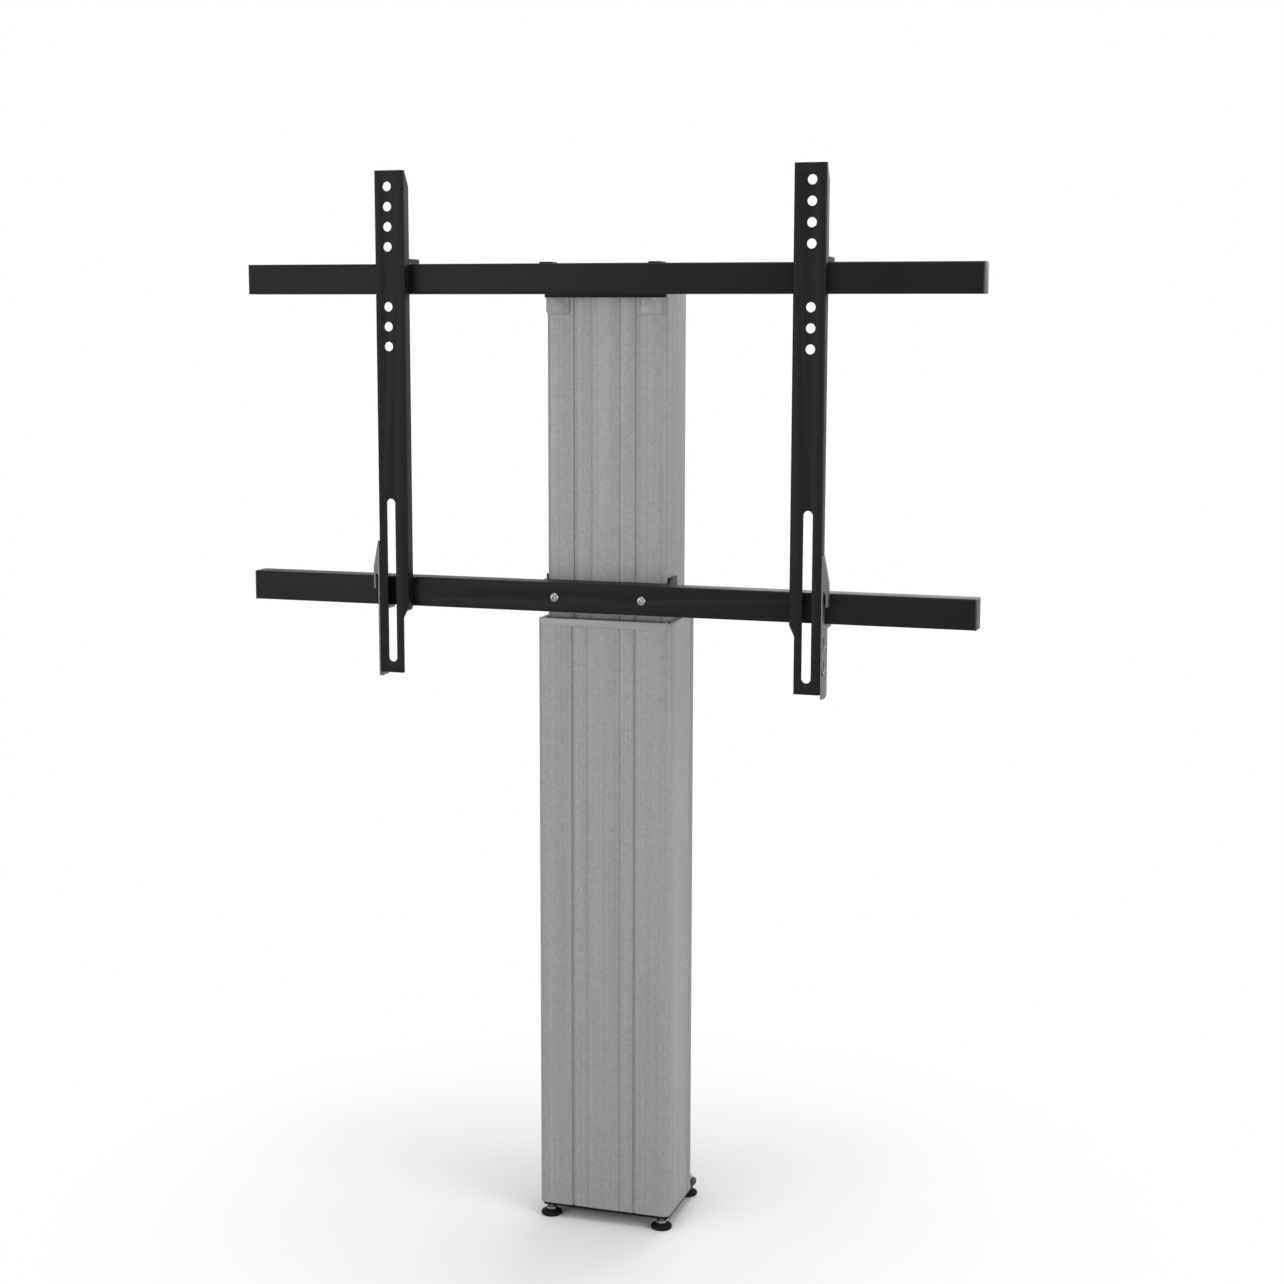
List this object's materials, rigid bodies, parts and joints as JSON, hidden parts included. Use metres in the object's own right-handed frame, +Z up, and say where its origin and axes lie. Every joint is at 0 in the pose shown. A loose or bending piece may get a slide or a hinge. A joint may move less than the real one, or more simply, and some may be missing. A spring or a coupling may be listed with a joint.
{
  "type": "motorized tv wall mount",
  "caption": "Floor-standing telescopic column fixed to a wall, driven by a motor, with cross rails and sliding hanging arms.",
  "frame": {"origin": "on the floor under the middle of the outer column's bounding box", "axes": "+X to the viewer's right along the rails, +Y towards the wall, +Z up along the column"},
  "size_m": [0.96, 0.19, 1.374],
  "materials": {
    "silver_extrusion": "fine satin anodised",
    "black_steel": "satin black powder coat",
    "zinc_steel": "bright zinc plated",
    "trim_metal": "polished",
    "bronze": "machined",
    "black_plastic": "moulded",
    "glide_plastic": "moulded",
    "rubber": "matt",
    "motor_steel": "painted",
    "copper_parts": "lacquered"
  },
  "bodies": {
    "base": {"outer_column": "silver_extrusion", "top_trim": "trim_metal", "upper_glides": "glide_plastic", "base_plate": "black_steel", "base_screws": "zinc_steel", "foot_bushes": "zinc_steel", "motor_can": "motor_steel", "motor_end_cap": "motor_steel", "gearbox_housing": "silver_extrusion", "motor_foot": "black_steel", "motor_screws": "zinc_steel", "spindle_bearing": "zinc_steel", "control_box_tray": "black_steel", "control_box_cover": "black_plastic", "circuit_board": "black_plastic", "transformer": "copper_parts", "capacitors": "black_plastic", "mains_inlet": "black_plastic", "control_box_screws": "zinc_steel", "wall_bracket_upper": "black_steel", "wall_bracket_lower": "black_steel", "bracket_bolts": "zinc_steel", "motor_lead": "rubber", "lead_grommet": "rubber", "lead_clips": "black_plastic"},
    "lift": {"inner_column": "silver_extrusion", "top_cap": "black_plastic", "lower_glides": "glide_plastic", "nut_bridge": "zinc_steel", "spindle_nut": "bronze", "bridge_screws": "zinc_steel", "upper_rail": "black_steel", "lower_rail": "black_steel", "rail_end_caps": "black_plastic", "upper_saddle": "black_steel", "hanger_left": "zinc_steel", "hanger_right": "zinc_steel", "hanger_screws": "zinc_steel", "lower_saddle": "black_steel", "saddle_screws": "zinc_steel", "rail_screws": "zinc_steel", "rail_spacers": "zinc_steel", "rail_nuts": "zinc_steel"},
    "spindle": {"spindle": "zinc_steel", "spindle_coupler": "zinc_steel", "spindle_stop": "zinc_steel"},
    "left_arm": {"left_arm": "black_steel", "left_latch_screws": "zinc_steel"},
    "right_arm": {"right_arm": "black_steel", "right_latch_screws": "zinc_steel"},
    "left_latch": {"left_latch": "zinc_steel"},
    "right_latch": {"right_latch": "zinc_steel"},
    "foot_front_left": {"foot_front_left_pad": "rubber", "foot_front_left_stud": "zinc_steel"},
    "foot_front_right": {"foot_front_right_pad": "rubber", "foot_front_right_stud": "zinc_steel"},
    "foot_rear_left": {"foot_rear_left_pad": "rubber", "foot_rear_left_stud": "zinc_steel"},
    "foot_rear_right": {"foot_rear_right_pad": "rubber", "foot_rear_right_stud": "zinc_steel"}
  },
  "joints": [
    {"name": "lift_slide", "type": "slide", "parent": "base", "child": "lift", "axis": [0, 0, 1], "range_m": [0, 0.5]},
    {"name": "spindle_turn", "type": "hinge", "parent": "base", "child": "spindle", "pos_m": [0, 0, 0.2], "axis": [0, 0, 1], "continuous": true},
    {"name": "left_arm_slide", "type": "slide", "parent": "lift", "child": "left_arm", "axis": [1, 0, 0], "range_m": [-0.125, 0.125]},
    {"name": "right_arm_slide", "type": "slide", "parent": "lift", "child": "right_arm", "axis": [1, 0, 0], "range_m": [-0.125, 0.125]},
    {"name": "left_latch_slide", "type": "slide", "parent": "left_arm", "child": "left_latch", "axis": [0, 0, 1], "range_m": [-0.012, 0]},
    {"name": "right_latch_slide", "type": "slide", "parent": "right_arm", "child": "right_latch", "axis": [0, 0, 1], "range_m": [-0.012, 0]},
    {"name": "foot_front_left_screw", "type": "slide", "parent": "base", "child": "foot_front_left", "axis": [0, 0, 1], "range_m": [-0.01, 0.003]},
    {"name": "foot_front_right_screw", "type": "slide", "parent": "base", "child": "foot_front_right", "axis": [0, 0, 1], "range_m": [-0.01, 0.003]},
    {"name": "foot_rear_left_screw", "type": "slide", "parent": "base", "child": "foot_rear_left", "axis": [0, 0, 1], "range_m": [-0.01, 0.003]},
    {"name": "foot_rear_right_screw", "type": "slide", "parent": "base", "child": "foot_rear_right", "axis": [0, 0, 1], "range_m": [-0.01, 0.003]}
  ],
  "couplings": [
    {"joint": "spindle_turn", "follows": "lift_slide", "rad_per_m": 785.4}
  ]
}
